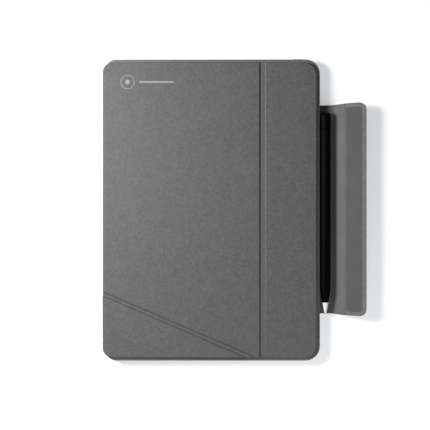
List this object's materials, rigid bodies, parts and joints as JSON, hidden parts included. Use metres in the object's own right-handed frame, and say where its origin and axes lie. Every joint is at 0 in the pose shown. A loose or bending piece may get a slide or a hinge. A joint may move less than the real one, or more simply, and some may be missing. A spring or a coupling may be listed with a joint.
{
  "type": "tablet case",
  "caption": "Folio tablet case with folding front cover, creased strip and corner, soft tray and a flap that holds a stylus.",
  "frame": {"origin": "middle of the back's outer face, which the closed case rests on", "axes": "+X from the spine to the flap, +Y to the top edge, +Z out of the front cover"},
  "size_m": [0.2228, 0.2554, 0.0129],
  "materials": {
    "leather": "grey grained synthetic leather",
    "microfibre": "short grey brushed microfibre",
    "rubber": "matt dark moulded rubbery plastic",
    "fibreboard": "plain pressed fibreboard",
    "steel": "plated steel",
    "trim": "black moulded trim",
    "black_plastic": "satin black barrel",
    "white_plastic": "white satin plastic"
  },
  "bodies": {
    "tray": {"tray_shell": "rubber", "back_skin": "leather", "back_board": "fibreboard", "back_lining": "microfibre", "camera_trim": "trim", "tongue_lining": "microfibre"},
    "power": {"power_button": "rubber"},
    "volume_up": {"volume_up_button": "rubber"},
    "volume_down": {"volume_down_button": "rubber"},
    "spine": {"spine_skin": "leather", "spine_board": "fibreboard"},
    "cover_main": {"main_skin": "leather", "main_board": "fibreboard", "main_lining": "microfibre"},
    "strip_crease": {"strip_web": "leather"},
    "cover_strip": {"strip_skin": "leather", "strip_board": "fibreboard", "strip_lining": "microfibre", "catch_plate": "steel", "wake_magnet_top": "steel", "wake_magnet_foot": "steel"},
    "corner_crease": {"corner_web": "leather"},
    "cover_corner": {"corner_skin": "leather", "corner_board": "fibreboard", "corner_lining": "microfibre"},
    "flap_side": {"flap_side_skin": "leather", "flap_side_lining": "microfibre"},
    "flap_pad": {"flap_pad_skin": "leather", "flap_pad_board": "fibreboard", "flap_pad_lining": "microfibre", "flap_magnet_foot": "steel", "flap_magnet_middle": "steel", "flap_magnet_top": "steel"},
    "stylus": {"stylus_barrel": "black_plastic", "stylus_cap": "black_plastic", "stylus_nib": "white_plastic"}
  },
  "joints": [
    {"name": "spine_hinge", "type": "hinge", "parent": "tray", "child": "spine", "pos_m": [-0.0916, 0, 0.0002], "axis": [0, -1, 0], "range_deg": [0, 180]},
    {"name": "cover_hinge", "type": "hinge", "parent": "spine", "child": "cover_main", "pos_m": [-0.0916, 0, 0.01225], "axis": [0, -1, 0], "range_deg": [0, 180]},
    {"name": "strip_web_fold", "type": "hinge", "parent": "cover_main", "child": "strip_crease", "pos_m": [0.0411, 0, 0.0112], "axis": [0, 1, 0], "range_deg": [-88, 0]},
    {"name": "strip_fold", "type": "hinge", "parent": "cover_main", "child": "cover_strip", "pos_m": [0.0426, 0, 0.0127], "axis": [0, 1, 0], "range_deg": [-176, 0]},
    {"name": "corner_web_fold", "type": "hinge", "parent": "cover_main", "child": "corner_crease", "pos_m": [-0.09005, -0.06951, 0.0112], "axis": [-0.9184, 0.3955, 0], "range_deg": [0, 88]},
    {"name": "corner_fold", "type": "hinge", "parent": "cover_main", "child": "cover_corner", "pos_m": [-0.09005, -0.07114, 0.0127], "axis": [-0.9184, 0.3955, 0], "range_deg": [0, 176]},
    {"name": "flap_side_hinge", "type": "hinge", "parent": "tray", "child": "flap_side", "pos_m": [0.10228, 0, 0.00082], "axis": [0, -1, 0], "range_deg": [-19, 54]},
    {"name": "flap_pad_hinge", "type": "hinge", "parent": "flap_side", "child": "flap_pad", "pos_m": [0.11293, 0, 0.00857], "axis": [0, -1, 0], "range_deg": [0, 116]},
    {"name": "stylus_slide", "type": "slide", "parent": "tray", "child": "stylus", "axis": [0, 1, 0], "range_m": [0, 0.17]},
    {"name": "power_press", "type": "slide", "parent": "tray", "child": "power", "axis": [0, -1, 0], "range_m": [0, 0.0004], "stiffness_N_per_m": 400},
    {"name": "volume_up_press", "type": "slide", "parent": "tray", "child": "volume_up", "axis": [-1, 0, 0], "range_m": [0, 0.0004], "stiffness_N_per_m": 400},
    {"name": "volume_down_press", "type": "slide", "parent": "tray", "child": "volume_down", "axis": [-1, 0, 0], "range_m": [0, 0.0004], "stiffness_N_per_m": 400}
  ],
  "couplings": [
    {"joint": "strip_web_fold", "follows": "strip_fold", "ratio": 0.5},
    {"joint": "corner_web_fold", "follows": "corner_fold", "ratio": 0.5}
  ]
}
